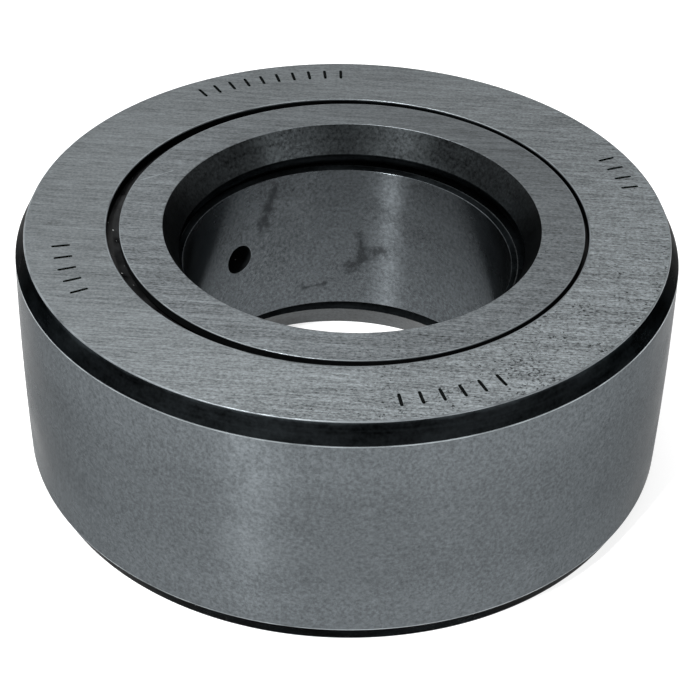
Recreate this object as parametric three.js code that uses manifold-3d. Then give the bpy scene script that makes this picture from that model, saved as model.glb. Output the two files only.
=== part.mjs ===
// Yoke-type track roller (cam follower), lying on one face with its axis along +Z.
// A thick-walled outer ring runs on one row of caged rollers around a short inner ring.
// A loose side washer closes each end, and a rubber seal ring fills the gap around it.
// Millimetres. The origin is the centre of the lower face, on the bore's axis.

import * as THREE from "three";
import { mergeVertices } from "three/addons/utils/BufferGeometryUtils.js";
import Module from "manifold-3d";

const wasm = await Module();
wasm.setup();

// Driving dimensions
const OUTER_DIAMETER = 80;
const BORE_DIAMETER = 40;
const OVERALL_WIDTH = 32; // across the two side washers
const CENTRE_HEIGHT = OVERALL_WIDTH / 2;

// Outer ring
const WASHER_PROUD = 0.1; // how far each side washer stands out of the outer ring's face
const OUTER_HALF_WIDTH = CENTRE_HEIGHT - WASHER_PROUD;
const CROWN_RADIUS = 500; // the tread is very slightly barrel-shaped
const CROWN_STEPS = 4;
const TREAD_CHAMFER_AXIAL = 2.5;
const FACE_OUTER_RADIUS = 38.62; // where the tread chamfer meets the flat face
const RIB_BORE_RADIUS = 28.95;
const RIB_EDGE_BREAK = 0.2;
const RACEWAY_HALF_WIDTH = 8.8;

// Rolling set
const INNER_RACEWAY_DIAMETER = 50;
const ROLLER_DIAMETER = 6;
const ROLLER_LENGTH = 17;
const ROLLER_COUNT = 20;
const ROLLER_END_BREAK = 0.3;
const RUNNING_GAP = 0.03; // taken off each rolling surface, so that flat facets never touch
const ROLLER_PITCH_RADIUS = (INNER_RACEWAY_DIAMETER + ROLLER_DIAMETER) / 2;
const ROLLER_RADIUS = ROLLER_DIAMETER / 2 - RUNNING_GAP;
const OUTER_RACEWAY_RADIUS = ROLLER_PITCH_RADIUS + ROLLER_DIAMETER / 2 + 2 * RUNNING_GAP;

// Cage: a tube just below the rollers' pitch circle, thin enough to pass inside the ribs
const CAGE_INNER_RADIUS = 26.4;
const CAGE_OUTER_RADIUS = 28.65;
const CAGE_HALF_WIDTH = 10.3;
const POCKET_WIDTH = 6.2;
const POCKET_LENGTH = 17.3;

// Inner ring
const INNER_HALF_WIDTH = 10.8;
const BORE_CHAMFER_RADIAL = 0.75;
const BORE_CHAMFER_AXIAL = 0.35;
const RACEWAY_EDGE_BREAK = 0.4;
const OIL_HOLE_DIAMETER = 4;
const OIL_HOLE_AZIMUTH = THREE.MathUtils.degToRad(135);

// Side washers: a flange, a smaller hub behind it, and a conical mouth
const WASHER_FLANGE_RADIUS = 27.9;
const WASHER_FLANGE_THICKNESS = 1.1;
const WASHER_HUB_RADIUS = 26.2;
const WASHER_THICKNESS = 4.9;
const WASHER_EDGE_BREAK = 0.2;
const WASHER_MOUTH_RADIUS = 22.75;
const WASHER_LAND_RADIUS = 20.87;
const WASHER_CONE_DEPTH = 3.57;
const WASHER_RELIEF = 0.4;
const WASHER_PLAY = { x: 0.52, y: -0.27 }; // unclamped, a washer lies this far off the axis

// Seal rings, each seated in a groove of the outer ring
const SEAL_TOP_BELOW_FACE = 1.6; // from the washer's outer face
const SEAL_HEIGHT = 2;
const SEAL_LIP_RADIUS = 27.0;
const SEAL_OUTER_RADIUS = 29.6;
const SEAL_SEAT_GAP = 0.3;
const SEAL_BAND_WIDTH = 1.35; // radial width of the part that sits in the groove
const SEAL_LIP_TOP = 0.45; // heights of the lip and its root, below the seal's top
const SEAL_LIP_BOTTOM = 0.95;
const SEAL_LIP_ROOT = 1.25;
const GROOVE_RADIUS = 29.9;

// Facets around each turned piece
const RING_SEGMENTS = 60;
const ROLLER_SEGMENTS = 12;
const HOLE_SEGMENTS = 20;

const finish = {
  groundSteel: { color: 0x767b7a, roughness: 0.42, metalness: 1 },
  washerSteel: { color: 0x6c7170, roughness: 0.48, metalness: 1 },
  boreSteel: { color: 0x5c6160, roughness: 0.38, metalness: 1 },
  rollerSteel: { color: 0xb4b8b8, roughness: 0.18, metalness: 1 },
  cageSteel: { color: 0x8c8f8d, roughness: 0.5, metalness: 1 },
  blackRubber: { color: 0x101112, roughness: 0.75, metalness: 0 },
};

function named(name, geometry, look) {
  const mesh = new THREE.Mesh(geometry, new THREE.MeshStandardMaterial(look));
  mesh.name = name;
  return mesh;
}

// A profile of [radius, height] pairs turned about +Z. The pairs run upwards on the outside.
function turned(profile, segments) {
  const points = profile.map(([radius, height]) => new THREE.Vector2(radius, height));
  const geometry = new THREE.LatheGeometry(points, segments);
  geometry.rotateX(Math.PI / 2);
  return geometry;
}

// Adds the lower half of a profile that is the same above and below the middle plane.
// upper runs from the outside over the top to the inside.
function mirrored(upper) {
  const lower = upper.map(([radius, height]) => [radius, -height]).reverse();
  const onMiddle = upper[0][1] === 0;
  return onMiddle ? [...lower.slice(0, -1), ...upper, lower[0]] : [...lower, ...upper, lower[0]];
}

function solidFrom(geometry) {
  const bare = geometry.clone();
  bare.deleteAttribute("normal");
  bare.deleteAttribute("uv");
  const merged = mergeVertices(bare, 1e-4);
  return new wasm.Manifold(
    new wasm.Mesh({
      numProp: 3,
      vertProperties: new Float32Array(merged.attributes.position.array),
      triVerts: new Uint32Array(merged.index.array),
    }),
  );
}

function geometryFrom(solid) {
  const mesh = solid.getMesh();
  const geometry = new THREE.BufferGeometry();
  geometry.setAttribute("position", new THREE.BufferAttribute(mesh.vertProperties, 3));
  geometry.setIndex(new THREE.BufferAttribute(mesh.triVerts, 1));
  geometry.computeVertexNormals();
  return geometry;
}

// The outer ring: crowned tread, a chamfer at each face, and ribs that hold the rollers.
function outerRing() {
  const treadEdge = OUTER_HALF_WIDTH - TREAD_CHAMFER_AXIAL;
  const tread = [];
  for (let step = 0; step <= CROWN_STEPS; step += 1) {
    const height = (treadEdge * step) / CROWN_STEPS;
    const drop = CROWN_RADIUS - Math.sqrt(CROWN_RADIUS ** 2 - height ** 2);
    tread.push([OUTER_DIAMETER / 2 - drop, height]);
  }
  const grooveTop = CENTRE_HEIGHT - SEAL_TOP_BELOW_FACE + SEAL_SEAT_GAP;
  const grooveBottom = grooveTop - SEAL_HEIGHT - 2 * SEAL_SEAT_GAP;
  const upper = [
    ...tread,
    [FACE_OUTER_RADIUS, OUTER_HALF_WIDTH],
    [RIB_BORE_RADIUS + RIB_EDGE_BREAK, OUTER_HALF_WIDTH],
    [RIB_BORE_RADIUS, OUTER_HALF_WIDTH - RIB_EDGE_BREAK],
    [RIB_BORE_RADIUS, grooveTop],
    [GROOVE_RADIUS, grooveTop],
    [GROOVE_RADIUS, grooveBottom],
    [RIB_BORE_RADIUS, grooveBottom],
    [RIB_BORE_RADIUS, RACEWAY_HALF_WIDTH],
    [OUTER_RACEWAY_RADIUS, RACEWAY_HALF_WIDTH],
  ];
  return named("outer_ring", turned(mirrored(upper), RING_SEGMENTS), finish.groundSteel);
}

// The inner ring: plain raceway, chamfered bore, one radial oil hole at mid-width.
function innerRing() {
  const raceway = INNER_RACEWAY_DIAMETER / 2 - RUNNING_GAP;
  const bore = BORE_DIAMETER / 2;
  const upper = [
    [raceway, INNER_HALF_WIDTH - RACEWAY_EDGE_BREAK],
    [raceway - RACEWAY_EDGE_BREAK, INNER_HALF_WIDTH],
    [bore + BORE_CHAMFER_RADIAL, INNER_HALF_WIDTH],
    [bore, INNER_HALF_WIDTH - BORE_CHAMFER_AXIAL],
  ];
  const ring = solidFrom(turned(mirrored(upper), RING_SEGMENTS));
  const holeRadius = OIL_HOLE_DIAMETER / 2;
  const drill = new THREE.CylinderGeometry(holeRadius, holeRadius, raceway, HOLE_SEGMENTS);
  drill.translate(0, (raceway + bore) / 2, 0); // centred in the ring's wall
  drill.rotateZ(OIL_HOLE_AZIMUTH - Math.PI / 2);
  return named("inner_ring", geometryFrom(ring.subtract(solidFrom(drill))), finish.boreSteel);
}

// A side washer with its outer face upwards at height 0.
function washerGeometry() {
  const land = -WASHER_THICKNESS + 2 * WASHER_RELIEF;
  const profile = [
    [WASHER_HUB_RADIUS, -WASHER_THICKNESS],
    [WASHER_HUB_RADIUS, -WASHER_FLANGE_THICKNESS],
    [WASHER_FLANGE_RADIUS, -WASHER_FLANGE_THICKNESS],
    [WASHER_FLANGE_RADIUS, -WASHER_EDGE_BREAK],
    [WASHER_FLANGE_RADIUS - WASHER_EDGE_BREAK, 0],
    [WASHER_MOUTH_RADIUS, 0],
    [WASHER_LAND_RADIUS, -WASHER_CONE_DEPTH],
    [WASHER_LAND_RADIUS, land],
    [WASHER_LAND_RADIUS + WASHER_RELIEF, -WASHER_THICKNESS],
    [WASHER_HUB_RADIUS, -WASHER_THICKNESS],
  ];
  return turned(profile, RING_SEGMENTS);
}

// A seal ring with its top at height 0: a seated band and a lip that leans to the washer's hub.
function sealGeometry() {
  const bandRadius = SEAL_OUTER_RADIUS - SEAL_BAND_WIDTH;
  const profile = [
    [SEAL_OUTER_RADIUS, -SEAL_HEIGHT],
    [SEAL_OUTER_RADIUS, 0],
    [bandRadius, 0],
    [SEAL_LIP_RADIUS, -SEAL_LIP_TOP],
    [SEAL_LIP_RADIUS, -SEAL_LIP_BOTTOM],
    [bandRadius, -SEAL_LIP_ROOT],
    [bandRadius, -SEAL_HEIGHT],
    [SEAL_OUTER_RADIUS, -SEAL_HEIGHT],
  ];
  return turned(profile, RING_SEGMENTS);
}

// A pair of like pieces: one faces up at the top, the other is turned over at the bottom.
// shift moves the upper piece sideways, and the lower one as far the other way.
function facingPair(name, geometry, look, belowFace, shift) {
  const top = named(`${name}_top`, geometry, look);
  top.position.set(shift.x, shift.y, OVERALL_WIDTH - belowFace);
  const bottom = named(`${name}_bottom`, geometry, look);
  bottom.rotation.x = Math.PI;
  bottom.position.set(-shift.x, -shift.y, belowFace);
  return [top, bottom];
}

// The cage: a tube with one straight pocket through its wall for each roller.
function cage() {
  const tube = turned(
    [
      [CAGE_OUTER_RADIUS, -CAGE_HALF_WIDTH],
      [CAGE_OUTER_RADIUS, CAGE_HALF_WIDTH],
      [CAGE_INNER_RADIUS, CAGE_HALF_WIDTH],
      [CAGE_INNER_RADIUS, -CAGE_HALF_WIDTH],
      [CAGE_OUTER_RADIUS, -CAGE_HALF_WIDTH],
    ],
    RING_SEGMENTS,
  );
  let solid = solidFrom(tube);
  const cutterDepth = 3 * (CAGE_OUTER_RADIUS - CAGE_INNER_RADIUS); // well through the wall
  for (let index = 0; index < ROLLER_COUNT; index += 1) {
    const pocket = new THREE.BoxGeometry(cutterDepth, POCKET_WIDTH, POCKET_LENGTH);
    pocket.translate((CAGE_OUTER_RADIUS + CAGE_INNER_RADIUS) / 2, 0, 0);
    pocket.rotateZ(rollerAngle(index));
    solid = solid.subtract(solidFrom(pocket));
  }
  return named("roller_cage", geometryFrom(solid), finish.cageSteel);
}

function rollerAngle(index) {
  return (2 * Math.PI * index) / ROLLER_COUNT;
}

function rollers() {
  const half = ROLLER_LENGTH / 2;
  const geometry = turned(
    [
      [0, -half],
      [ROLLER_RADIUS - ROLLER_END_BREAK, -half],
      [ROLLER_RADIUS, -half + ROLLER_END_BREAK],
      [ROLLER_RADIUS, half - ROLLER_END_BREAK],
      [ROLLER_RADIUS - ROLLER_END_BREAK, half],
      [0, half],
    ],
    ROLLER_SEGMENTS,
  );
  return Array.from({ length: ROLLER_COUNT }, (_, index) => {
    const number = String(index + 1).padStart(2, "0");
    const roller = named(`roller_${number}`, geometry, finish.rollerSteel);
    const angle = rollerAngle(index);
    roller.position.set(
      ROLLER_PITCH_RADIUS * Math.cos(angle),
      ROLLER_PITCH_RADIUS * Math.sin(angle),
      0,
    );
    return roller;
  });
}

const group = new THREE.Group();
const runningSet = new THREE.Group(); // everything that is centred on the roller's mid-width
runningSet.position.z = CENTRE_HEIGHT;
runningSet.add(outerRing(), innerRing(), cage(), ...rollers());
group.add(
  runningSet,
  ...facingPair("side_washer", washerGeometry(), finish.washerSteel, 0, WASHER_PLAY),
  ...facingPair("seal_ring", sealGeometry(), finish.blackRubber, SEAL_TOP_BELOW_FACE, { x: 0, y: 0 }),
);

export default group;
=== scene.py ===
"""Yoke-type track roller (cam follower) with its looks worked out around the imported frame.

Laid out as a Blender add-on: sizes and finishes are properties, each group of pieces has its own
operator, and a sidebar panel lists them. Run as a script, it builds everything in order.
Lengths are metres. The roller lies on its lower face, with its axis along +Z through the origin.
"""

import math

import bpy
import numpy as np
from bpy.props import FloatProperty, FloatVectorProperty, IntProperty, PointerProperty
from mathutils import Matrix, Vector


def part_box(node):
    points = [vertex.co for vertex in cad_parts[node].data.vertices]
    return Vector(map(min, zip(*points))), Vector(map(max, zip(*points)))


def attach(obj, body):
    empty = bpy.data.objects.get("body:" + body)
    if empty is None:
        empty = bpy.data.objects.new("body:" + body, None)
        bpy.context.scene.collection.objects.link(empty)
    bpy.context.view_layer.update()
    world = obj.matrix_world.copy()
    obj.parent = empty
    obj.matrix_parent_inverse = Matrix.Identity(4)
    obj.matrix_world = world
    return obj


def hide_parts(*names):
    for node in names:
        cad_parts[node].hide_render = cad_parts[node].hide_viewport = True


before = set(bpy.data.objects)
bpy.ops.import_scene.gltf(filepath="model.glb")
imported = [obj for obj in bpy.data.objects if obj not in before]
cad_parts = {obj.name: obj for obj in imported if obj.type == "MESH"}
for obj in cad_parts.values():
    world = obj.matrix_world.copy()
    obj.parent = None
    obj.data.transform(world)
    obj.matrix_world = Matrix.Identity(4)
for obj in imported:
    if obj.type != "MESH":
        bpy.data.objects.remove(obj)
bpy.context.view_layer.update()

bl_info = {
    "name": "Track Roller",
    "version": (1, 0, 0),
    "blender": (4, 5, 0),
    "location": "View3D > Sidebar > Track Roller",
    "description": "Builds a yoke-type track roller: rings, washers, seals, cage and rollers",
    "category": "Add Mesh",
}

MM = 0.001
TUBE_SEGMENTS = 280  # steps around the rings that have windows; a multiple of the number of rollers
SHARP_ANGLE = math.radians(38.0)  # edges that turn by more than this are shaded as sharp
GUARD = 2.2  # how many cuts a corner's finish reaches along the sides that it joins
LINING_STEPS = (0.35, 0.7, 1.0)  # where the rings between a window's border and its lip lie
OIL_WINDOW = 3.0 * MM  # half the height of the patch of wall that holds the oil hole
OIL_REACH = 6  # and its steps around, to each side
POCKET_REACH = 6  # the same for a cage pocket
POCKET_CORNER = 5  # steps from a pocket's middle to the column that its corners are led out to
POCKET_SQUARENESS = 40.0

MARK_FILM = 0.004 * MM  # how far an etched tick stands above and reaches into the face
# Rows of etched ticks: middle and span in degrees, count, and radius in millimetres
MARK_ROWS = (
    (108.0, 31.0, 10, 35.6),
    (-160.0, 16.0, 5, 34.4),
    (20.0, 11.0, 4, 35.9),
    (-70.5, 19.0, 6, 35.2),
)
# Bright scratches on the upper faces, from and to, in millimetres
SCRATCH_HALF_WIDTH = 0.13
RING_SCRATCHES = (((24.3, -16.5, 32.0), (31.0, -17.0, 32.0)),)
WASHER_SCRATCHES = (((-25.7, 7.6, 32.0), (-22.0, 9.9, 32.0)),)
# Dark smears on the bore's wall: from, to and half width, in millimetres
SMEAR_RAGGED = 4.0  # how far noise moves a smear's border, in half widths
SMEAR_SHADE = 0.42
BORE_SMEARS = (
    ((-9.5, 17.6, 25.0), (-11.5, 16.35, 19.0), 1.1),
    ((0.1, 20.0, 11.0), (4.3, 19.5, 14.5), 1.2),
    ((1.6, 19.9, 16.4), (1.8, 19.9, 12.9), 0.8),
    ((-6.0, 19.1, 8.2), (-3.0, 19.8, 8.6), 0.4),
)
GRAIN_TURN = math.radians(4.0)  # direction of the grinding lines, from +X
PAINTED_SHEEN_SPAN = (0.03, -0.055)  # the faces get more painted sheen, and rust more, from the first Y to the second
RUST_SPAN = (0.0, -0.05)
RUST_LEAN = -0.9
NOISE_SPAN = (0.3, 0.7)  # where almost all of a noise's values lie
SPOT_EDGE = 22.0  # how sharply a pit or a grain ends
PIT_SHADE = 0.15
# the washer's flank, down in the gap by the outer ring, is the bore's steel dimmed by this factor as
# painted shade
FLANK_PAINTED_SHADE = 0.16
TRACK_EDGE = (8.0 * MM, 12.0 * MM)  # where the band that ran on a rail begins and stops to fade
RUB_EDGE = (16.1 * MM, 16.6 * MM)  # the same for the oxide's rubbed rim, from mid-width
TURNED_TINT = (0.48, 0.48, 0.48, 1.0)  # both keep metal from brightening at a grazing angle
OXIDE_TINT = (0.35, 0.35, 0.35, 1.0)

FLOOR_SIZE = 3.0
FLOOR_COLOUR = (0.55, 0.55, 0.55, 1.0)
FLOOR_GLOW = 0.74  # the floor is a lit table, so it stays pale under the roller
ROOM_STRENGTH = 0.55
WHITE = (1.0, 1.0, 1.0, 1.0)
# Lamps: name, place, size and power in watts; each faces the object
LAMPS = (
    ("overhead_panel", (-0.3, 0.35, 0.9), (1.0, 0.8), 4.0),
    ("front_left_strip", (-0.364, -0.561, 0.743), (0.085, 0.42), 12.8),
    ("front_right_fill", (0.62, -0.72, 0.33), (0.6, 0.16), 1.2),
)

# Sizes that the frame gives
OUTER_LOW, OUTER_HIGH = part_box("outer_ring")
_, INNER_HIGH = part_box("inner_ring")
_, CAGE_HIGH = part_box("roller_cage")
SEAL_LOW, SEAL_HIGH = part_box("seal_ring_top")
MIDDLE = (OUTER_LOW.z + OUTER_HIGH.z) / 2
ROLLER_NAMES = sorted(
    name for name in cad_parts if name.startswith("roller_") and name[-1].isdigit()
)


# ---------- properties ----------


def length(name, description, default):
    return FloatProperty(
        name=name, description=description, default=default, min=0.0, unit="LENGTH", precision=6
    )


def shift(name, description, default):
    return FloatProperty(name=name, description=description, default=default, unit="LENGTH")


def facets(name, description, default, least):
    return IntProperty(name=name, description=description, default=default, min=least)


def share(name, description, default):
    return FloatProperty(name=name, description=description, default=default, min=0.0, max=1.0)


def colour(name, description, default):
    return FloatVectorProperty(
        name=name, description=description, default=default, size=3, min=0.0, max=1.0, subtype="COLOR"
    )


def angle(name, description, degrees):
    turn = math.radians(degrees)
    return FloatProperty(name=name, description=description, default=turn, subtype="ANGLE")


class RollerSizes(bpy.types.PropertyGroup):
    """Sizes of the turned pieces that a user may change."""

    ring_segments: facets("Ring segments", "Facets around each ring", 288, 60)
    roller_segments: facets("Roller segments", "Facets around a roller", 48, 12)
    crown_radius: length("Crown", "Radius of the tread's barrel shape", 0.5)
    tread_chamfer: length("Tread chamfer", "Height of the chamfer at each edge of the tread", 2.5 * MM)
    face_radius: length("Face radius", "Outer radius of the outer ring's flat face", 38.62 * MM)
    rib_bore_radius: length("Rib bore", "Radius inside the outer ring's ribs", 28.95 * MM)
    groove_radius: length("Groove radius", "Radius at the bottom of the seal's groove", 29.9 * MM)
    groove_gap: length("Groove gap", "Room above and below the seal in its groove", 0.3 * MM)
    raceway_half_width: length("Raceway half width", "Half the outer raceway's width", 8.8 * MM)
    raceway_radius: length("Outer raceway", "Radius of the outer ring's raceway", 31.06 * MM)
    edge_break: length("Edge break", "Width of the small rounding on a sharp edge", 0.06 * MM)
    bore_radius: length("Bore", "Radius of the inner ring's bore", 20.0 * MM)
    bore_chamfer_radial: length("Bore chamfer, radial", "Radial size of the bore's chamfer", 0.75 * MM)
    bore_chamfer_axial: length("Bore chamfer, axial", "Axial size of the bore's chamfer", 0.35 * MM)
    raceway_edge: length("Raceway edge", "Edge break of the inner raceway", 0.4 * MM)
    oil_hole_radius: length("Oil hole", "Radius of the oil hole", 2.0 * MM)
    oil_hole_azimuth: angle("Oil hole azimuth", "Direction of the oil hole", 135.0)
    washer_flange: length("Washer flange", "Thickness of the washer's flange", 1.1 * MM)
    washer_hub_radius: length("Washer hub", "Radius of the washer's hub", 26.2 * MM)
    washer_mouth_radius: length("Washer mouth", "Radius of the cone at the washer's face", 22.75 * MM)
    washer_land_radius: length("Washer land", "Radius below the cone", 20.87 * MM)
    washer_cone_depth: length("Cone depth", "Depth of the conical mouth", 3.57 * MM)
    washer_relief: length("Washer relief", "Chamfer at the washer's inner end", 0.4 * MM)
    seal_lip_radius: length("Seal lip", "Radius of the seal's lip", 27.0 * MM)
    seal_band: length("Seal band", "Radial thickness of the seal's seated band", 1.35 * MM)
    seal_lip_top: length("Lip top", "Depth of the lip's upper corner", 0.45 * MM)
    seal_lip_bottom: length("Lip bottom", "Depth of the lip's lower corner", 0.95 * MM)
    seal_lip_root: length("Lip root", "Depth at which the lip leaves the band", 1.25 * MM)
    seal_rounding: length("Seal rounding", "Rounding of the seal's corners", 0.15 * MM)
    cage_inner_radius: length("Cage inside", "Inner radius of the cage", 26.4 * MM)
    pocket_width: length("Pocket width", "Width of a cage pocket", 6.2 * MM)
    pocket_length: length("Pocket length", "Length of a cage pocket", 17.3 * MM)
    roller_radius: length("Roller radius", "Radius of a roller at mid-length", 2.97 * MM)
    roller_rounding: length("Roller rounding", "Rounding at a roller's ends", 0.3 * MM)
    roller_crown: length("Roller crown", "How far a roller's ends are relieved", 0.015 * MM)
    tick_length: length("Tick length", "Length of an etched tick", 2.2 * MM)
    tick_width: length("Tick width", "Width of an etched tick", 0.4 * MM)


class RollerFinishes(bpy.types.PropertyGroup):
    """Colours and roughness of the finishes."""

    face_colour: colour("Ring face", "Surface-ground face of the outer ring", (0.174, 0.191, 0.199))
    washer_colour: colour("Washer face", "Surface-ground face of a side washer", (0.142, 0.156, 0.164))
    tread_colour: colour("Tread", "Ground and polished tread", (0.102, 0.113, 0.1205))
    bore_colour: colour("Bore", "Ground bore of the inner ring", (0.103, 0.114, 0.122))
    cone_colour: colour("Cone", "Turned cone of a side washer", (0.031, 0.035, 0.037))
    oxide_colour: colour("Oxide", "Black scale on unground surfaces", (0.005, 0.006, 0.0066))
    edge_colour: colour("Edges", "Bright steel on worn edges", (0.25, 0.275, 0.29))
    rolling_colour: colour("Rolling surfaces", "Lapped bearing steel", (0.55, 0.56, 0.57))
    cage_colour: colour("Cage", "Machined steel of the cage", (0.32, 0.33, 0.32))
    rubber_colour: colour("Rubber", "Black nitrile rubber", (0.012, 0.0125, 0.013))
    mark_colour: colour("Marks", "Etched marks on the face", (0.004, 0.0045, 0.0045))
    face_roughness: share("Face roughness", "Roughness of the ground faces", 0.44)
    tread_roughness: share("Tread roughness", "Roughness of the tread", 0.25)


class RollerView(bpy.types.PropertyGroup):
    """Where the camera stands, measured from the centre of the upper face."""

    distance: length("Distance", "Distance along the viewing direction", 0.23929)
    side_shift: shift("Side shift", "Shift to the right", 0.630 * MM)
    rise: shift("Rise", "Shift along the view's up", -15.665 * MM)
    elevation: angle("Elevation", "Height of the camera above the horizon", 36.915)
    roll: angle("Roll", "Turn of the view, anticlockwise", 1.459)
    lens: FloatProperty(name="Lens", description="Focal length in millimetres", default=102.32)
    sensor: FloatProperty(name="Sensor", description="Sensor width in millimetres", default=36.0)


# ---------- materials ----------


def link(tree, source, target):
    tree.links.new(source, target)


def add_node(tree, kind, settings=None, **inputs):
    """Adds a shader node. settings are its attributes; inputs are values or output sockets by name."""
    node = tree.nodes.new(f"ShaderNode{kind}")
    for key, value in (settings or {}).items():
        setattr(node, key, value)
    for key, value in inputs.items():
        socket = node.inputs[int(key[1:])] if key[0] == "i" and key[1:].isdigit() else node.inputs[key]
        if isinstance(value, bpy.types.NodeSocket):
            link(tree, value, socket)
        else:
            socket.default_value = value
    return node


def arithmetic(operation):
    """Makes a function that adds a Math node for the operation and returns its output."""

    def add(tree, first, second=0.0, clamp=False):
        settings = {"operation": operation, "use_clamp": clamp}
        return add_node(tree, "Math", settings, i0=first, i1=second).outputs[0]

    return add


plus, minus, times = arithmetic("ADD"), arithmetic("SUBTRACT"), arithmetic("MULTIPLY")
without_sign = arithmetic("ABSOLUTE")


def vector_arithmetic(tree, operation, first, **inputs):
    return add_node(tree, "VectorMath", {"operation": operation}, i0=first, **inputs).outputs


def remap(tree, value, low, high, to_low, to_high):
    """value taken from the range low to high to the range to_low to to_high, and held at its ends."""
    node = add_node(tree, "MapRange", None, i0=value, i1=low, i2=high, i3=to_low, i4=to_high)
    return node.outputs[0]


def object_coordinates(tree, scale=(1, 1, 1), turn=0.0, offset=(0, 0, 0)):
    """Object coordinates, turned about Z and then scaled, so that the scale's axes follow the grain."""
    source = add_node(tree, "TexCoord").outputs["Object"]
    turned = add_node(
        tree, "Mapping", None, Vector=source, Rotation=(0, 0, turn), Location=offset
    ).outputs[0]
    return vector_arithmetic(tree, "MULTIPLY", turned, i1=scale)[0]


def noise(tree, scale, detail=2.0, roughness=0.5, turn=0.0, offset=(0, 0, 0)):
    """Noise with the given number of grains to the metre along each axis."""
    place = object_coordinates(tree, scale, turn, offset)
    node = add_node(
        tree, "TexNoise", None, Vector=place, Scale=1.0, Detail=detail, Roughness=roughness
    )
    return node.outputs[0]


def from_middle(tree):
    """Distance above or below mid-width."""
    height = add_node(tree, "SeparateXYZ", None, i0=object_coordinates(tree)).outputs[2]
    return without_sign(tree, minus(tree, height, MIDDLE))


def weighted(tree, values, weights):
    """Sum of values times weights."""
    total = times(tree, values[0], weights[0])
    for value, weight in zip(values[1:], weights[1:]):
        total = plus(tree, total, times(tree, value, weight))
    return total


def dimmed(base, factor):
    return tuple(factor * channel for channel in base)


def shaded(tree, base, factor):
    """A plain colour made lighter or darker by a factor that varies over the surface."""
    grey = add_node(tree, "CombineColor", None, i0=factor, i1=factor, i2=factor).outputs[0]
    mixed = add_node(tree, "Mix", {"data_type": "RGBA", "blend_type": "MULTIPLY"}, i0=1.0)
    mixed.inputs[6].default_value = (*base, 1.0)
    link(tree, grey, mixed.inputs[7])
    return mixed.outputs[2]


def blended(tree, factor, first, second_colour):
    """first, covered by second_colour where factor is 1."""
    mixed = add_node(tree, "Mix", {"data_type": "RGBA"}, i0=factor)
    link(tree, first, mixed.inputs[6])
    mixed.inputs[7].default_value = (*second_colour, 1.0)
    return mixed.outputs[2]


def preset(node, values):
    for name, value in values.items():
        node.inputs[name].default_value = value


def new_material(name, metallic, roughness, values=None):
    material = bpy.data.materials.new(name)
    material.use_nodes = True
    tree = material.node_tree
    shader = tree.nodes["Principled BSDF"]
    preset(shader, {"Metallic": metallic, "Roughness": roughness, **(values or {})})
    return material, tree, shader


def finish_surface(tree, shader, base_colour, roughness, height, depth):
    """Joins colour, roughness and a bump of the given depth in metres to the shader."""
    link(tree, base_colour, shader.inputs["Base Color"])
    link(tree, roughness, shader.inputs["Roughness"])
    bump = add_node(tree, "Bump", None, Strength=1.0, Distance=depth, Height=height)
    link(tree, bump.outputs[0], shader.inputs["Normal"])


def stroke(tree, start, end, half_width, ragged=0.0):
    """1 on the straight line between two points and 0 beyond half_width from it, all in millimetres.

    ragged is how far noise moves the stroke's border.
    """
    start, end = Vector(start) * MM, Vector(end) * MM
    along = end - start
    source = add_node(tree, "TexCoord").outputs["Object"]
    offset = vector_arithmetic(tree, "SUBTRACT", source, i1=tuple(start))[0]
    part = vector_arithmetic(tree, "DOT_PRODUCT", offset, i1=tuple(along / along.length_squared))[1]
    part = plus(tree, part, 0.0, clamp=True)
    nearest = vector_arithmetic(tree, "SCALE", tuple(along), i3=part)[0]
    away = vector_arithmetic(tree, "DISTANCE", offset, i1=nearest)[1]
    if ragged:
        border = minus(tree, noise(tree, (800, 800, 800), 4.0, 0.7), 0.5)
        away = plus(tree, away, times(tree, border, ragged * MM))
    return remap(tree, away, 0.0, half_width * MM, 1.0, 0.0)


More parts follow.
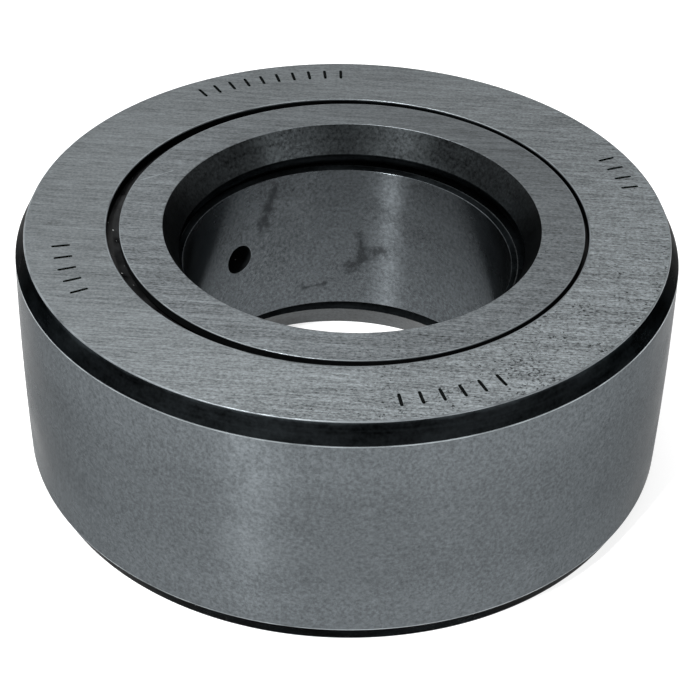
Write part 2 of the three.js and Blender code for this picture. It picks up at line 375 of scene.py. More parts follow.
def ground_face(name, base, roughness, pits, lean, level, scratches):
    """Surface-ground steel: straight parallel grinding lines almost along X, with stains and small pits.

    Towards -Y the face is painted lighter, a painted sheen, and its lines show more; rust pits gather
    towards
    +X and -Y. pits is how much of the rusted area they take. lean turns the direction in which the
    painted sheen grows, and level is how light the face is painted where the sheen is none and where it
    is full.
    """
    material, tree, shader = new_material(name, 1.0, roughness)
    x, y = add_node(tree, "SeparateXYZ", None, i0=object_coordinates(tree)).outputs[:2]
    # Painted sheen: the face is painted lighter, and its grinding lines stronger, towards -Y
    painted_sheen = remap(tree, weighted(tree, (y, x), (1.0, lean)), *PAINTED_SHEEN_SPAN, 0.0, 1.0)
    rusted = remap(tree, weighted(tree, (y, x), (1.0, RUST_LEAN)), *RUST_SPAN, 0.0, 1.0)
    coarse = noise(tree, (60, 1500, 40), 3.0, 0.7, GRAIN_TURN)
    fine = noise(tree, (300, 5200, 40), 2.0, 0.6, GRAIN_TURN)
    grain = noise(tree, (2600, 3800, 40), 2.0, 0.75, GRAIN_TURN)
    stain = noise(tree, (40, 70, 40), 3.0, 0.5, GRAIN_TURN, (0.3, 0.1, 0))
    streaks = weighted(tree, (coarse, fine, grain), (0.25, 0.33, 0.42))
    contrast = remap(tree, painted_sheen, 0.0, 1.0, 3.2, 7.0)
    swing = times(tree, minus(tree, streaks, 0.5), contrast)
    mottle = noise(tree, (2300, 2900, 40), 2.0, 0.8, 0.0, (0.3, 0.6, 0))
    bloom = times(tree, minus(tree, mottle, 0.5), rusted)
    light = weighted(tree, (swing, stain, bloom, rusted), (1.0, 0.36, 2.6, 0.08))
    # the painted sheen lightens the face towards -Y
    light = plus(tree, light, remap(tree, painted_sheen, 0.0, 1.0, *level))
    for start, end in scratches:
        light = plus(tree, light, stroke(tree, start, end, SCRATCH_HALF_WIDTH))
    pit_place = noise(tree, (2000, 3000, 40), 2.0, 0.7)
    pit_area = noise(tree, (170, 170, 40), offset=(0.05, 0.41, 0))
    pit_share = times(tree, pit_area, rusted)
    pit_level = remap(tree, pit_share, 0.15, 0.6, 0.74, 0.74 - pits)
    pit = times(tree, minus(tree, pit_place, pit_level), SPOT_EDGE, clamp=True)
    colour_out = blended(tree, pit, shaded(tree, base, light), dimmed(base, PIT_SHADE))
    rough_out = remap(tree, streaks, *NOISE_SPAN, roughness - 0.06, roughness + 0.08)
    height = minus(tree, streaks, times(tree, pit, 0.8))
    finish_surface(tree, shader, colour_out, rough_out, height, 0.006 * MM)
    return material


def turned_steel(
    name, base, roughness, streak, mottle, grain, lines, depth, anisotropy=0.0, track=0.0, smears=()
):
    """Steel ground or turned on its own axis: fine lines around Z, cloudy mottling and dark smears.

    streak, mottle and grain are how strongly each of those patterns lightens and darkens the base.
    lines is how many turned lines there are to the metre, and depth how deep they are.
    track is how much darker the band is that has run on a rail, around mid-width.
    """
    material, tree, shader = new_material(name, 1.0, roughness)
    lines_wide = noise(tree, (45, 45, 0.3 * lines), 3.0, 0.6)
    lines_fine = noise(tree, (120, 120, lines), 2.0, 0.6)
    cloud = noise(tree, (90, 90, 130), 4.0, 0.65, 0.0, (0.2, 0.7, 0))
    speckle = noise(tree, (2400, 2400, 2400), 2.0, 0.7)
    streaks = weighted(tree, (lines_wide, lines_fine), (0.55, 0.45))
    level = weighted(tree, (streaks, cloud, speckle), (streak, mottle, grain))
    level = plus(tree, level, 1.0 - 0.5 * (streak + mottle + grain))
    if track:
        edge = plus(tree, from_middle(tree), times(tree, cloud, 5 * MM))
        level = times(tree, level, remap(tree, edge, *TRACK_EDGE, 1.0 - track, 1.0))
    colour_out = shaded(tree, base, level)
    for start, end, half_width in smears:
        smear = stroke(tree, start, end, half_width, SMEAR_RAGGED * half_width)
        colour_out = blended(tree, smear, colour_out, dimmed(base, SMEAR_SHADE))
    rough_out = remap(tree, cloud, *NOISE_SPAN, roughness - 0.04, roughness + 0.05)
    finish_surface(tree, shader, colour_out, rough_out, streaks, depth)
    if anisotropy:
        # A quarter turn of the highlight makes it run along the axis
        turned = {"Anisotropic": anisotropy, "Anisotropic Rotation": 0.25, "Specular Tint": TURNED_TINT}
        preset(shader, turned)
        tangent = add_node(tree, "Tangent", {"direction_type": "RADIAL", "axis": "Z"})
        link(tree, tangent.outputs[0], shader.inputs["Tangent"])
    return material


def black_oxide(name, base):
    """Black scale left by heat treatment: dull, with a fine tooth, and rubbed thin at a ground face."""
    material, tree, shader = new_material(name, 1.0, 0.45, {"Specular Tint": OXIDE_TINT})
    patch = noise(tree, (150, 150, 420), 4.0, 0.65)
    tooth = noise(tree, (2400, 2400, 2400))
    lines = noise(tree, (60, 60, 3200), 1.0)
    level = remap(tree, weighted(tree, (patch, tooth, lines), (0.6, 0.25, 0.15)), 0.35, 0.72, 0.2, 2.7)
    ragged = plus(tree, from_middle(tree), times(tree, patch, 1.2 * MM))
    level = plus(tree, level, remap(tree, ragged, *RUB_EDGE, 0.0, 4.0))
    rough_out = remap(tree, patch, *NOISE_SPAN, 0.38, 0.55)
    finish_surface(tree, shader, shaded(tree, base, level), rough_out, tooth, 0.01 * MM)
    return material


def bright_edge(name, base):
    """The bright line that grinding leaves along an edge, broken up where the edge is nicked."""
    material, tree, shader = new_material(name, 1.0, 0.35)
    nick = noise(tree, (260, 260, 260), 3.0, 0.6)
    level = remap(tree, nick, 0.3, 0.6, 0.5, 1.1)
    rough_out = remap(tree, nick, *NOISE_SPAN, 0.5, 0.28)
    finish_surface(tree, shader, shaded(tree, base, level), rough_out, nick, 0.01 * MM)
    return material


def lapped_steel(name, base):
    """Lapped bearing steel of raceways and rollers: bright, with faint running lines and an oil film."""
    coat = {"Coat Weight": 0.3, "Coat Roughness": 0.08}
    material, tree, shader = new_material(name, 1.0, 0.14, coat)
    lines = noise(tree, (80, 80, 6000))
    film = noise(tree, (300, 300, 200), 3.0)
    level = remap(tree, weighted(tree, (lines, film), (0.6, 0.4)), *NOISE_SPAN, 0.86, 1.08)
    rough_out = remap(tree, film, *NOISE_SPAN, 0.1, 0.22)
    finish_surface(tree, shader, shaded(tree, base, level), rough_out, lines, 0.001 * MM)
    return material


def machined_cage(name, base):
    """Machined steel of the cage: visible tool lines and a dull phosphate bloom."""
    material, tree, shader = new_material(name, 1.0, 0.42)
    lines = noise(tree, (60, 60, 3600))
    bloom = noise(tree, (240, 240, 240), 4.0)
    level = remap(tree, weighted(tree, (lines, bloom), (0.5, 0.5)), *NOISE_SPAN, 0.72, 1.16)
    rough_out = remap(tree, bloom, *NOISE_SPAN, 0.34, 0.56)
    finish_surface(tree, shader, shaded(tree, base, level), rough_out, lines, 0.006 * MM)
    return material


def greased_rubber(name, base):
    """Black rubber under a film of grease, with a few bright grains caught in it."""
    material, tree, shader = new_material(name, 0.0, 0.45, {"Specular IOR Level": 0.12})
    cloud = noise(tree, (500, 500, 500), 3.0)
    grain_place = noise(tree, (1500, 1500, 1500), 1.0, offset=(0.4, 0.2, 0.1))
    grain = times(tree, minus(tree, grain_place, 0.735), SPOT_EDGE, clamp=True)
    level = remap(tree, cloud, *NOISE_SPAN, 0.5, 1.9)
    colour_out = blended(tree, grain, shaded(tree, base, level), (0.42, 0.44, 0.43))
    rough_out = remap(tree, cloud, *NOISE_SPAN, 0.25, 0.65)
    height = weighted(tree, (cloud, grain), (0.6, 0.5))
    finish_surface(tree, shader, colour_out, rough_out, height, 0.06 * MM)
    return material


def etched_mark(name, base):
    """Dark matt ground of an electro-etched mark."""
    material, tree, shader = new_material(name, 0.0, 0.8, {"Specular IOR Level": 0.0})
    tooth = noise(tree, (2600, 2600, 2600))
    level = remap(tree, tooth, *NOISE_SPAN, 0.5, 1.8)
    rough_out = remap(tree, tooth, *NOISE_SPAN, 0.55, 0.8)
    finish_surface(tree, shader, shaded(tree, base, level), rough_out, tooth, 0.01 * MM)
    return material


def finishes():
    """Every finish by name, made once and kept for the next operator."""
    look = bpy.context.scene.track_roller_finishes
    rough, tread_rough, fine = look.face_roughness, look.tread_roughness, 0.0004 * MM
    # Painted shade: the washer's flank, down in the gap, is the bore's steel made much darker
    flank = dimmed(look.bore_colour, FLANK_PAINTED_SHADE)
    makers = {
        # A ground face takes base, roughness, pits, lean, the painted sheen's lightness at none and at
        # full, and scratches
        "ring_face": (ground_face, look.face_colour, rough, 0.17, -1.2, (0.8, 1.17), RING_SCRATCHES),
        "washer_face": (
            ground_face, look.washer_colour, rough, 0.14, 0.7, (0.77, 1.13), WASHER_SCRATCHES
        ),
        "tread": (turned_steel, look.tread_colour, tread_rough, 0.15, 0.5, 1.4, 6000, fine, 1.0, 0.12),
        "bore": (turned_steel, look.bore_colour, 0.26, 0.3, 1.0, 1.7, 3000, fine, 1.0, 0.0, BORE_SMEARS),
        "cone": (turned_steel, look.cone_colour, 0.29, 1.3, 1.4, 2.4, 2600, 0.004 * MM),
        "flank": (turned_steel, flank, 0.5, 0.3, 0.6, 0.9, 2600, 0.002 * MM),
        "oxide": (black_oxide, look.oxide_colour),
        "oiled_hole": (greased_rubber, look.oxide_colour),
        "edge": (bright_edge, look.edge_colour),
        "rolling": (lapped_steel, look.rolling_colour),
        "cage": (machined_cage, look.cage_colour),
        "rubber": (greased_rubber, look.rubber_colour),
        "mark": (etched_mark, look.mark_colour),
    }
    made = bpy.data.materials
    return {name: made.get(name) or make(name, *rest) for name, (make, *rest) in makers.items()}


# ---------- surfaces ----------


def outline(corners, arc_steps=4):
    """A closed outline through corners (radius, height, cut, corner finish, side finish).

    A corner with a cut is replaced by a curve between the two points that lie a cut away along its
    sides: (1-s)^2 A + 2s(1-s) P + s^2 B for s from 0 to 1. A guard point GUARD cuts away on each side
    keeps the flats' shading flat, and the corner's finish reaches that far. Returns the points, the
    finish of the side that leaves each point, and the index at which each corner starts.
    """
    places = np.array([corner[:2] for corner in corners])
    points, sides, starts = [], [], []
    steps = np.linspace(0.0, 1.0, arc_steps + 1)[:, None]
    for index, (_, _, cut, corner_finish, side_finish) in enumerate(corners):
        here, before, after = places[index], places[index - 1], places[(index + 1) % len(places)]
        starts.append(sum(len(block) for block in points))
        if cut == 0:
            points.append(here[None])
            sides.append([side_finish])
            continue
        back, ahead = before - here, after - here
        back, ahead = back / np.linalg.norm(back), ahead / np.linalg.norm(ahead)
        first, last = here + back * cut, here + ahead * cut
        arc = (1 - steps) ** 2 * first + 2 * steps * (1 - steps) * here + steps**2 * last
        points.append(np.vstack([here + back * GUARD * cut, arc, here + ahead * GUARD * cut]))
        sides.append([corner_finish] * (arc_steps + 2) + [side_finish])
    return np.vstack(points), np.concatenate(sides), np.array(starts)


def ring_grid(points, segments, centre=(0.0, 0.0)):
    """Outline points (r, z) turned about a vertical axis: x = cx + r cos a, y = cy + r sin a.

    Returns the vertices and, for every outline side and every step around, one quad.
    """
    around = np.arange(segments) * 2 * math.pi / segments
    radius, height = points[:, :1], points[:, 1:]
    x, y = centre[0] + radius * np.cos(around), centre[1] + radius * np.sin(around)
    vertices = np.stack([x, y, height + 0 * around], axis=-1)
    row = np.arange(len(points))[:, None] * segments
    next_row = np.roll(row, -1, axis=0)
    column = np.arange(segments)
    after = np.roll(column, -1)
    quads = np.stack([row + column, row + after, next_row + after, next_row + column], axis=-1)
    return vertices.reshape(-1, 3), quads


def capped_grid(points, segments, centre):
    """An open outline that starts and ends on the axis, turned, with a fan of triangles at each pole."""
    body = points[1:-1]
    vertices, quads = ring_grid(body, segments, centre)
    quads = quads[:-1].reshape(-1, 4)
    poles = np.array([[*centre, points[0, 1]], [*centre, points[-1, 1]]])
    low, high = len(vertices), len(vertices) + 1
    here, after = np.arange(segments), np.roll(np.arange(segments), -1)
    top_row = (len(body) - 1) * segments
    under = np.stack([np.full(segments, low), after, here], axis=-1)
    over = np.stack([np.full(segments, high), top_row + here, top_row + after], axis=-1)
    return np.vstack([vertices, poles]), quads, np.vstack([under, over])


def pierce(vertices, quads, sides, rows, columns, half_sizes, power, cut, hole_finish, radii):
    """Opens one window through both walls of a tube and lines it.

    rows are the outline indices of the window's rows on the outer and the inner wall, both from
    bottom to top, and columns its steps around. Each border point (u, v), u across and v up, runs
    in towards k (u, v) with k = (|u/a|^p + |v/b|^p)^(-1/p), which is a circle for p = 2 and a
    rounded rectangle for a high p. A point stays on a wall of radius r at the depth sqrt(r^2 - u^2).
    """
    outer_rows, inner_rows = rows
    outer_radius, inner_radius = radii
    middle = columns[len(columns) // 2] * 2 * math.pi / TUBE_SEGMENTS
    axis = np.array([math.cos(middle), math.sin(middle), 0.0])
    across = np.array([-math.sin(middle), math.cos(middle), 0.0])

    def border(wall_rows):
        grid = wall_rows[:, None] * TUBE_SEGMENTS + columns[None, :] % TUBE_SEGMENTS
        return np.concatenate([grid[0, :-1], grid[:-1, -1], grid[-1, :0:-1], grid[:0:-1, 0]])

    def flat(indices):
        return np.stack([vertices[indices] @ across, vertices[indices][:, 2] - MIDDLE], axis=-1)

    def on_wall(uv, radius):
        depth = np.sqrt(radius**2 - uv[:, 0] ** 2)
        return depth[:, None] * axis + uv[:, :1] * across + np.array([0, 0, 1]) * (uv[:, 1:] + MIDDLE)

    outer_border, inner_border = border(outer_rows), border(inner_rows)
    start, stop = flat(outer_border), flat(inner_border)
    reach = (np.abs(start / half_sizes) ** power).sum(axis=1) ** (-1 / power)
    edge = start * reach[:, None]
    lip = edge * (1 + cut / np.linalg.norm(edge, axis=1))[:, None]
    rings = [on_wall(start + s * (lip - start), outer_radius) for s in LINING_STEPS]
    rings += [on_wall(edge, outer_radius - cut), on_wall(edge, inner_radius + cut)]
    rings += [on_wall(stop + s * (lip - stop), inner_radius) for s in reversed(LINING_STEPS)]
    count = len(outer_border)
    fresh = len(vertices) + np.arange(len(rings) * count).reshape(len(rings), count)
    loops = np.vstack([outer_border, fresh, inner_border])
    after = np.roll(loops, -1, axis=1)
    lining = np.stack([loops[:-1], after[:-1], after[1:], loops[1:]], axis=-1)
    keep = np.ones(quads.shape[:2], bool)
    span = columns[:-1] % TUBE_SEGMENTS
    keep[np.ix_(outer_rows[:-1], span)] = False
    keep[np.ix_(inner_rows[1:], span)] = False
    outside, inside = sides[outer_rows[0]], sides[inner_rows[1]]
    steps = len(LINING_STEPS)
    lining_finish = [outside] * steps + ["edge", hole_finish, "edge"] + [inside] * steps
    lining_finish = np.repeat(lining_finish, count)
    return np.vstack([vertices, *rings]), keep, lining.reshape(-1, 4), lining_finish


def make_piece(name, vertices, faces, face_finishes, body, nodes):
    """Puts one piece into the scene: smooth faces, sharp edges by angle, one material per finish."""
    mesh = bpy.data.meshes.new(name)
    mesh.from_pydata(vertices.tolist(), [], [face for block in faces for face in block.tolist()])
    known = finishes()
    used = sorted(set(face_finishes))
    for finish in used:
        mesh.materials.append(known[finish])
    mesh.polygons.foreach_set("material_index", np.searchsorted(used, face_finishes))
    mesh.polygons.foreach_set("use_smooth", np.ones(len(mesh.polygons), bool))
    mesh.set_sharp_from_angle(angle=SHARP_ANGLE)
    if mesh.validate():
        raise RuntimeError(f"{name} had faces that had to be mended")
    piece = bpy.data.objects.new(name, mesh)
    bpy.context.scene.collection.objects.link(piece)
    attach(piece, body)
    if nodes:
        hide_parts(*nodes)


# ---------- pieces ----------


def underside(upper, outer_side):
    """The corners below MIDDLE that match upper's, in the opposite order.

    Going back, the side that leaves a corner is the one that led to it, so upper's first corner
    leaves along outer_side, which is the wall that leads to it.
    """
    sides = [outer_side] + [corner[4] for corner in upper[:-1]]
    return [
        (r, 2 * MIDDLE - z, cut, corner_finish, side)
        for (r, z, cut, corner_finish, _), side in zip(reversed(upper), reversed(sides))
    ]


def wall(radius, heights, finish):
    """Outline corners on a plain wall, one at each height."""
    return [(radius, z, 0.0, "", finish) for z in heights]


def outer_ring_corners(sizes):
    """Corners of the outer ring: over its top, down inside, and back up the crowned tread."""
    top, radius = OUTER_HIGH.z, OUTER_HIGH.x
    tread_top = top - sizes.tread_chamfer
    heights = np.linspace(2 * MIDDLE - tread_top, tread_top, 17)
    crown = sizes.crown_radius
    tread = radius - (crown - np.sqrt(crown**2 - (heights - MIDDLE) ** 2))
    edge = sizes.edge_break
    groove_top = SEAL_HIGH.z + sizes.groove_gap
    groove_bottom = SEAL_LOW.z - sizes.groove_gap
    raceway_top = MIDDLE + sizes.raceway_half_width
    bore, groove = sizes.rib_bore_radius, sizes.groove_radius
    upper = [
        (tread[-1], tread_top, 0.6 * edge, "edge", "oxide"),
        (sizes.face_radius, top, edge, "edge", "ring_face"),
        (bore, top, 1.5 * edge, "edge", "oxide"),
        *wall(bore, [groove_top], "oxide"),
        *wall(groove, [groove_top, groove_bottom], "oxide"),
        *wall(bore, [groove_bottom, raceway_top], "oxide"),
        *wall(sizes.raceway_radius, [raceway_top], "rolling"),
    ]
    rising = [(r, z, 0.0, "", "tread") for r, z in zip(tread[1:-1], heights[1:-1])]
    return upper + underside(upper, "tread") + rising


def washer_corners(sizes):
    """Corners of the upper side washer: hub, flange, face, cone, land and inner end."""
    low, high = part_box("side_washer_top")
    top, inner_end = high.z, low.z
    radius = (high.x - low.x) / 2
    edge = sizes.edge_break
    return [
        (sizes.washer_hub_radius, inner_end, edge, "oxide", "oxide"),
        *wall(sizes.washer_hub_radius, [top - sizes.washer_flange], "oxide"),
        # the flank's finish is darkened as painted shade
        *wall(radius, [top - sizes.washer_flange], "flank"),
        (radius, top, edge, "edge", "washer_face"),
        (sizes.washer_mouth_radius, top, edge / 2, "washer_face", "cone"),
        (sizes.washer_land_radius, top - sizes.washer_cone_depth, edge, "oxide", "oxide"),
        *wall(sizes.washer_land_radius, [inner_end + 2 * sizes.washer_relief], "oxide"),
        (sizes.washer_land_radius + sizes.washer_relief, inner_end, edge, "oxide", "washer_face"),
    ]


def seal_corners(sizes):
    """Corners of the upper seal ring: a seated band, and a lip that leans in and down to the hub."""
    top, bottom, radius = SEAL_HIGH.z, SEAL_LOW.z, SEAL_HIGH.x
    lip, neck = sizes.seal_lip_radius, radius - sizes.seal_band
    places = [
        (radius, bottom),
        (radius, top),
        (neck, top),
        (lip, top - sizes.seal_lip_top),
        (lip, top - sizes.seal_lip_bottom),
        (neck, top - sizes.seal_lip_root),
        (neck, bottom),
    ]
    return [(r, z, sizes.seal_rounding, "rubber", "rubber") for r, z in places]


def turned_ring(name, corners, centre, body, nodes):
    """One ring turned from its corners about a vertical axis through centre."""
    sizes = bpy.context.scene.track_roller_sizes
    points, sides, _ = outline(corners)
    vertices, quads = ring_grid(points, sizes.ring_segments, centre)
    face_finishes = np.repeat(sides, sizes.ring_segments)
    make_piece(name, vertices, [quads.reshape(-1, 4)], face_finishes, body, nodes)


def pierced_ring(name, upper, inner_finish, outer_finish, heights, windows, shape, body, nodes):
    """A tube with windows. upper holds its corners above the windows, heights the windows' rows.

    windows is (middle steps around, steps to each side); shape is (half sizes, power, cut, lining).
    """
    outer_radius, inner_radius = upper[0][0], upper[-1][0]
    corners = upper + wall(inner_radius, heights[::-1], inner_finish)
    inner_start = len(upper)
    corners += underside(upper, outer_finish)
    outer_start = len(corners)
    corners += wall(outer_radius, heights, outer_finish)
    points, sides, starts = outline(corners)
    vertices, quads = ring_grid(points, TUBE_SEGMENTS)
    count = len(heights)
    rows = (starts[outer_start : outer_start + count], starts[inner_start : inner_start + count][::-1])
    middles, reach = windows
    radii = (outer_radius, inner_radius)
    keep = np.ones(quads.shape[:2], bool)
    faces, face_finishes = [], []
    for middle in middles:
        columns = middle + np.arange(-reach, reach + 1)
        vertices, kept, lining, linings = pierce(vertices, quads, sides, rows, columns, *shape, radii)
        keep &= kept
        faces.append(lining)
        face_finishes.append(linings)
    faces.append(quads[keep])
    face_finishes.append(np.repeat(sides, TUBE_SEGMENTS)[keep.ravel()])
    make_piece(name, vertices, faces, np.concatenate(face_finishes), body, nodes)


def roller_outline(sizes, bottom, top):
    """Outline of a crowned roller from pole to pole.

    The ends are quarter circles of the end rounding. Between them the radius is
    R - crown * t^6, where t runs from -1 to 1 along the roller.
    """
    radius, rounding = sizes.roller_radius, sizes.roller_rounding
    turn = np.linspace(0.0, math.pi / 2, 6)
    reach = (top - bottom) / 2 - rounding
    along = np.linspace(-1.0, 1.0, 15)[1:-1]
    middle = (top + bottom) / 2
    end_radius = radius - sizes.roller_crown
    corner = rounding * np.stack([np.sin(turn), np.cos(turn)], axis=-1)
    corner += (end_radius - rounding, reach)
    body = np.stack([radius - sizes.roller_crown * along**6, along * reach], axis=-1)
    lower = corner * (1, -1)
    shape = np.vstack([[[0.0, -reach - rounding]], lower, body, corner[::-1], [[0.0, reach + rounding]]])
    return shape + (0.0, middle)


def tick_group(azimuth, span, count, radius, half_length, half_width):
    """Outlines of ticks spread over an arc: l |cos t|^e along, w |sin t|^e across, with signs kept."""
    t = np.linspace(0.0, 2 * math.pi, 24, endpoint=False)
    shape = np.stack([np.cos(t), np.sin(t)], axis=-1)
    shape = np.sign(shape) * np.abs(shape) ** 0.4 * (half_length, half_width)
    turns = azimuth + span * (np.arange(count) / (count - 1) - 0.5)
    out = np.stack([np.cos(turns), np.sin(turns)], axis=-1)
    across = np.stack([-out[:, 1], out[:, 0]], axis=-1)
    return out[:, None] * (radius + shape[None, :, :1]) + across[:, None] * shape[None, :, 1:]


# ---------- operators ----------


class TRACKROLLER_OT_outer_ring(bpy.types.Operator):
    """Build the outer ring with its crowned tread, chamfers, ribs, seal grooves and raceway"""

    bl_idname = "track_roller.outer_ring"
    bl_label = "Outer Ring"

    def execute(self, context):
        corners = outer_ring_corners(context.scene.track_roller_sizes)
        turned_ring(
            "outer_ring_turned", corners, (0.0, 0.0), "outer_body", ["outer_ring"]
        )
        return {"FINISHED"}


class TRACKROLLER_OT_inner_ring(bpy.types.Operator):
    """Build the inner ring with its chamfered bore and the oil hole through its wall"""

    bl_idname = "track_roller.inner_ring"
    bl_label = "Inner Ring"

    def execute(self, context):
        sizes = context.scene.track_roller_sizes
        top, raceway, bore = INNER_HIGH.z, INNER_HIGH.x, sizes.bore_radius
        small = sizes.edge_break / 2
        upper = [
            (raceway, top - sizes.raceway_edge, 0.0, "", "oxide"),
            (raceway - sizes.raceway_edge, top, small, "oxide", "oxide"),
            (bore + sizes.bore_chamfer_radial, top, small, "cone", "oxide"),
            (bore, top - sizes.bore_chamfer_axial, small, "bore", "bore"),
        ]
        heights = MIDDLE + np.linspace(-OIL_WINDOW, OIL_WINDOW, 13)
        middle = round(sizes.oil_hole_azimuth / (2 * math.pi) * TUBE_SEGMENTS)
        shape = (np.full(2, sizes.oil_hole_radius), 2.0, small, "oiled_hole")
        pierced_ring(
            "inner_ring_turned", upper, "bore", "rolling", heights, ([middle], OIL_REACH), shape,
            "inner_body", ["inner_ring"],
        )
        return {"FINISHED"}


class TRACKROLLER_OT_side_washers(bpy.types.Operator):
    """Build both loose side washers where the frame has them"""

    bl_idname = "track_roller.side_washers"
    bl_label = "Side Washers"

    def execute(self, context):
        upper = washer_corners(context.scene.track_roller_sizes)
        lower = underside(upper, upper[-1][4])
        for end, corners in (("top", upper), ("bottom", lower)):
            node = f"side_washer_{end}"
            low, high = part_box(node)
            centre = ((low.x + high.x) / 2, (low.y + high.y) / 2)
            turned_ring(f"{node}_turned", corners, centre, "inner_body", [node])
        return {"FINISHED"}


class TRACKROLLER_OT_seal_rings(bpy.types.Operator):
    """Build both rubber seal rings in the outer ring's grooves"""

    bl_idname = "track_roller.seal_rings"
    bl_label = "Seal Rings"

    def execute(self, context):
        upper = seal_corners(context.scene.track_roller_sizes)
        lower = underside(upper, upper[-1][4])
        for end, corners in (("top", upper), ("bottom", lower)):
            node = f"seal_ring_{end}"
            turned_ring(f"{node}_moulded", corners, (0.0, 0.0), "outer_body", [node])
        return {"FINISHED"}


class TRACKROLLER_OT_cage(bpy.types.Operator):
    """Build the roller cage with a round-cornered pocket for each roller"""

    bl_idname = "track_roller.cage"
    bl_label = "Roller Cage"

    def execute(self, context):
        sizes = context.scene.track_roller_sizes
        top, edge = CAGE_HIGH.z, sizes.edge_break
        upper = [
            (CAGE_HIGH.x, top, edge, "cage", "cage"),
            (sizes.cage_inner_radius, top, edge, "cage", "cage"),
        ]
        half_pocket = np.array([sizes.pocket_width / 2, sizes.pocket_length / 2])
        # The last row is where the line from a pocket's middle through its corner meets a column
        corner_column = CAGE_HIGH.x * math.sin(POCKET_CORNER * 2 * math.pi / TUBE_SEGMENTS)
        half_height = half_pocket[1] * corner_column / half_pocket[0]
        heights = MIDDLE + np.linspace(-1.0, 1.0, 25) * half_height
        middles = np.arange(len(ROLLER_NAMES)) * TUBE_SEGMENTS // len(ROLLER_NAMES)
        shape = (half_pocket, POCKET_SQUARENESS, edge / 2, "cage")
        pierced_ring(
            "roller_cage_pierced", upper, "cage", "cage", heights, (middles, POCKET_REACH), shape,
            "cage_body", ["roller_cage"],
        )
        return {"FINISHED"}


class TRACKROLLER_OT_rollers(bpy.types.Operator):
    """Build every roller, crowned and with rounded ends"""

    bl_idname = "track_roller.rollers"
    bl_label = "Rollers"

    def execute(self, context):
        sizes = context.scene.track_roller_sizes
        for name in ROLLER_NAMES:
            low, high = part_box(name)
            centre = ((low.x + high.x) / 2, (low.y + high.y) / 2)
            points = roller_outline(sizes, low.z, high.z)
            vertices, *faces = capped_grid(points, sizes.roller_segments, centre)
            face_finishes = ["rolling"] * sum(len(block) for block in faces)
            body = f"{name}_body"
            make_piece(f"{name}_lapped", vertices, faces, face_finishes, body, [name])
        return {"FINISHED"}


class TRACKROLLER_OT_etched_marks(bpy.types.Operator):
    """Lay rows of plain etched ticks on the outer ring's upper face"""

    bl_idname = "track_roller.etched_marks"
    bl_label = "Etched Marks"

    def execute(self, context):
        sizes = context.scene.track_roller_sizes
        half_sizes = (sizes.tick_length / 2, sizes.tick_width / 2)
        groups = [
            tick_group(math.radians(middle), math.radians(span), count, radius * MM, *half_sizes)
            for middle, span, count, radius in MARK_ROWS
        ]
        outlines = np.concatenate(groups)
        ticks, around = outlines.shape[:2]
        top = np.full((ticks, around, 1), OUTER_HIGH.z + MARK_FILM)
        flat = [np.concatenate([outlines, top - drop], axis=-1) for drop in (2 * MARK_FILM, 0.0)]
        vertices = np.stack(flat, axis=1).reshape(-1, 3)
        first = np.arange(ticks)[:, None] * 2 * around
        here = first + np.arange(around)
        after = first + np.roll(np.arange(around), -1)
        walls = np.stack([here, after, after + around, here + around], axis=-1).reshape(-1, 4)
        faces = [walls, here + around, here[:, ::-1]]
        face_finishes = ["mark"] * sum(len(block) for block in faces)
        make_piece("etched_marks", vertices, faces, face_finishes, "outer_body", [])
        return {"FINISHED"}


def soft_light(name, place, target, size, power):
    """A rectangular lamp at place, turned to face target."""
    lamp = bpy.data.lights.new(name, "AREA")
    lamp.shape = "RECTANGLE"
    lamp.size, lamp.size_y = size
    lamp.energy = power
    holder = bpy.data.objects.new(name, lamp)
    holder.location = place
    holder.visible_camera = False
    holder.rotation_euler = (Vector(target) - Vector(place)).to_track_quat("-Z", "Y").to_euler()
    bpy.context.scene.collection.objects.link(holder)


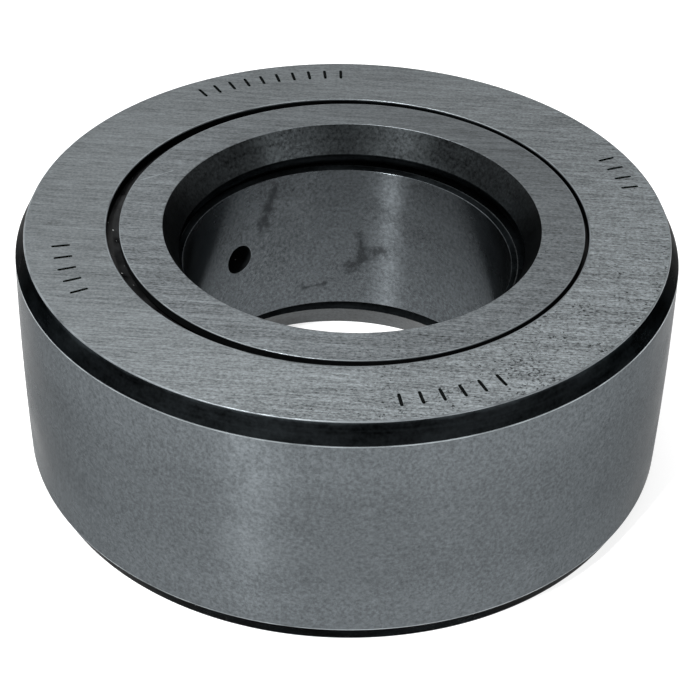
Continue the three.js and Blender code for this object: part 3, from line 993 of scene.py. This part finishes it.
class TRACKROLLER_OT_stage(bpy.types.Operator):
    """Set up the pale floor, the soft lamps and the camera"""

    bl_idname = "track_roller.stage"
    bl_label = "Stage"

    def execute(self, context):
        scene = context.scene
        self.lay_floor()
        self.light_room(scene)
        self.place_camera(scene)
        scene.view_settings.view_transform = "Standard"
        return {"FINISHED"}

    def lay_floor(self):
        """A plain square sheet under the object."""
        half = FLOOR_SIZE / 2
        mesh = bpy.data.meshes.new("floor")
        corners = [(-half, -half, 0), (half, -half, 0), (half, half, 0), (-half, half, 0)]
        mesh.from_pydata(corners, [], [(0, 1, 2, 3)])
        pale = {"Base Color": FLOOR_COLOUR, "Specular IOR Level": 0.0}
        glow = {"Emission Color": WHITE, "Emission Strength": FLOOR_GLOW}
        mesh.materials.append(new_material("pale_floor", 0.0, 0.9, {**pale, **glow})[0])
        floor = bpy.data.objects.new("floor", mesh)
        bpy.context.scene.collection.objects.link(floor)

    def light_room(self, scene):
        """A pale room and the lamps."""
        world = bpy.data.worlds.new("studio")
        world.use_nodes = True
        background = world.node_tree.nodes["Background"]
        preset(background, {"Color": WHITE, "Strength": ROOM_STRENGTH})
        scene.world = world
        centre = (0.0, 0.0, MIDDLE)
        for name, place, size, power in LAMPS:
            soft_light(name, place, centre, size, power)

    def place_camera(self, scene):
        """Camera looking along -back; its place is back, right and up from the upper face's centre."""
        view = scene.track_roller_view
        back = Vector((0.0, -math.cos(view.elevation), math.sin(view.elevation)))
        right = Vector((1.0, 0.0, 0.0))
        up = back.cross(right)
        place = Vector((0.0, 0.0, OUTER_HIGH.z)) + back * view.distance
        place += right * view.side_shift + up * view.rise
        camera_x = right * math.cos(view.roll) + up * math.sin(view.roll)
        camera_y = up * math.cos(view.roll) - right * math.sin(view.roll)
        turn = Matrix((camera_x, camera_y, back)).transposed().to_4x4()
        lens = bpy.data.cameras.new("camera")
        lens.lens, lens.sensor_width = view.lens, view.sensor
        lens.clip_start, lens.clip_end = 0.01, 20.0
        camera = bpy.data.objects.new("camera", lens)
        camera.matrix_world = Matrix.Translation(place) @ turn
        scene.collection.objects.link(camera)
        scene.camera = camera


class TRACKROLLER_PT_panel(bpy.types.Panel):
    """Sidebar panel with every operator and property"""

    bl_idname = "TRACKROLLER_PT_panel"
    bl_label = "Track Roller"
    bl_space_type = "VIEW_3D"
    bl_region_type = "UI"
    bl_category = "Track Roller"

    def draw(self, context):
        column = self.layout.column(align=True)
        for operator in OPERATORS:
            column.operator(operator.bl_idname)
        for group in GROUPS:
            box = self.layout.box()
            settings = getattr(context.scene, GROUPS[group])
            for key in group.__annotations__:
                box.prop(settings, key)


OPERATORS = (
    TRACKROLLER_OT_outer_ring,
    TRACKROLLER_OT_inner_ring,
    TRACKROLLER_OT_side_washers,
    TRACKROLLER_OT_seal_rings,
    TRACKROLLER_OT_cage,
    TRACKROLLER_OT_rollers,
    TRACKROLLER_OT_etched_marks,
    TRACKROLLER_OT_stage,
)
GROUPS = {
    RollerSizes: "track_roller_sizes",
    RollerFinishes: "track_roller_finishes",
    RollerView: "track_roller_view",
}


def register():
    for group, name in GROUPS.items():
        bpy.utils.register_class(group)
        setattr(bpy.types.Scene, name, PointerProperty(type=group))
    for kind in (*OPERATORS, TRACKROLLER_PT_panel):
        bpy.utils.register_class(kind)


def unregister():
    for kind in reversed((*OPERATORS, TRACKROLLER_PT_panel)):
        bpy.utils.unregister_class(kind)
    for group, name in GROUPS.items():
        delattr(bpy.types.Scene, name)
        bpy.utils.unregister_class(group)


def main():
    register()
    for operator in OPERATORS:
        section, name = operator.bl_idname.split(".")
        getattr(getattr(bpy.ops, section), name)()


if __name__ == "__main__":
    main()
